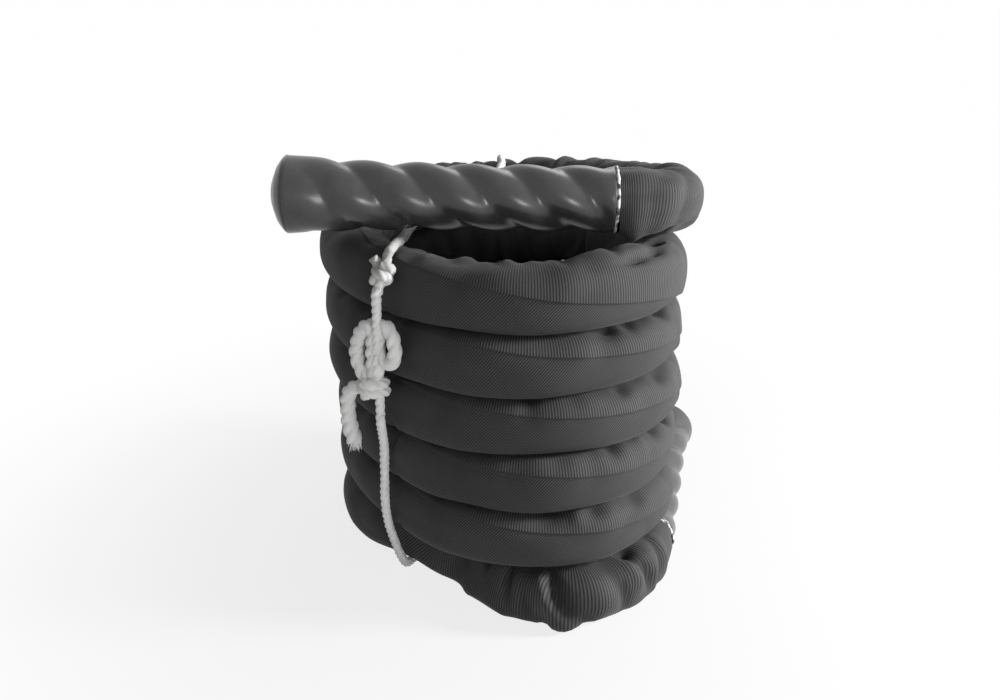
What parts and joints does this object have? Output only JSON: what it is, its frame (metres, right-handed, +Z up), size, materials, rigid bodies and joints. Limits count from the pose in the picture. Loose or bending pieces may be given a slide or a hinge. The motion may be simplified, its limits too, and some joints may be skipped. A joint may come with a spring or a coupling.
{
  "type": "battle rope",
  "caption": "Sleeved training rope coiled upright and tied with a cord, one heat-shrunk grip across the top and the other on the floor.",
  "frame": {"origin": "the middle of the bounding box's footprint, on the floor", "axes": "+X along the top grip towards its cuff, +Y away from the viewer, +Z up"},
  "size_m": [0.442, 0.3903, 0.4183],
  "materials": {
    "sleeve_fabric": "woven nylon",
    "rope_strands": "three-strand polyester",
    "grip_tube": "heat-shrunk, satin",
    "end_cap": "satin",
    "glue": "dried bead",
    "tie_cord": "twisted cord"
  },
  "bodies": {
    "coil": {"coil_sleeve": "sleeve_fabric", "coil_core": "rope_strands", "tail_sleeve": "sleeve_fabric", "tail_core": "rope_strands", "top_bend_sleeve": "sleeve_fabric", "top_bend_core": "rope_strands", "floor_bend_sleeve": "sleeve_fabric", "floor_bend_core": "rope_strands", "tie_loop": "tie_cord", "tie_front_run": "tie_cord", "tie_upper_knot": "tie_cord", "tie_lower_knot": "tie_cord", "tie_left_bow": "tie_cord", "tie_right_bow": "tie_cord", "tie_frayed_end": "tie_cord", "tie_cut_end": "tie_cord"},
    "top_grip_body": {"top_grip": "grip_tube", "top_grip_core": "rope_strands", "top_glue_band": "glue", "top_end_cap": "end_cap"},
    "floor_grip_body": {"floor_grip": "grip_tube", "floor_grip_core": "rope_strands", "floor_glue_band": "glue", "floor_end_cap": "end_cap"}
  },
  "joints": [
    {"name": "top_grip_lift", "type": "hinge", "parent": "coil", "child": "top_grip_body", "pos_m": [0.1197, -0.0607, 0.38379], "axis": [0, 1, 0], "range_deg": [0, 60], "deforming": ["top_bend_sleeve", "top_bend_core"]},
    {"name": "floor_grip_swing", "type": "hinge", "parent": "coil", "child": "floor_grip_body", "pos_m": [0.1257, -0.1007, 0.0293], "axis": [0, 0, -1], "range_deg": [0, 40], "deforming": ["floor_bend_sleeve", "floor_bend_core"]}
  ]
}
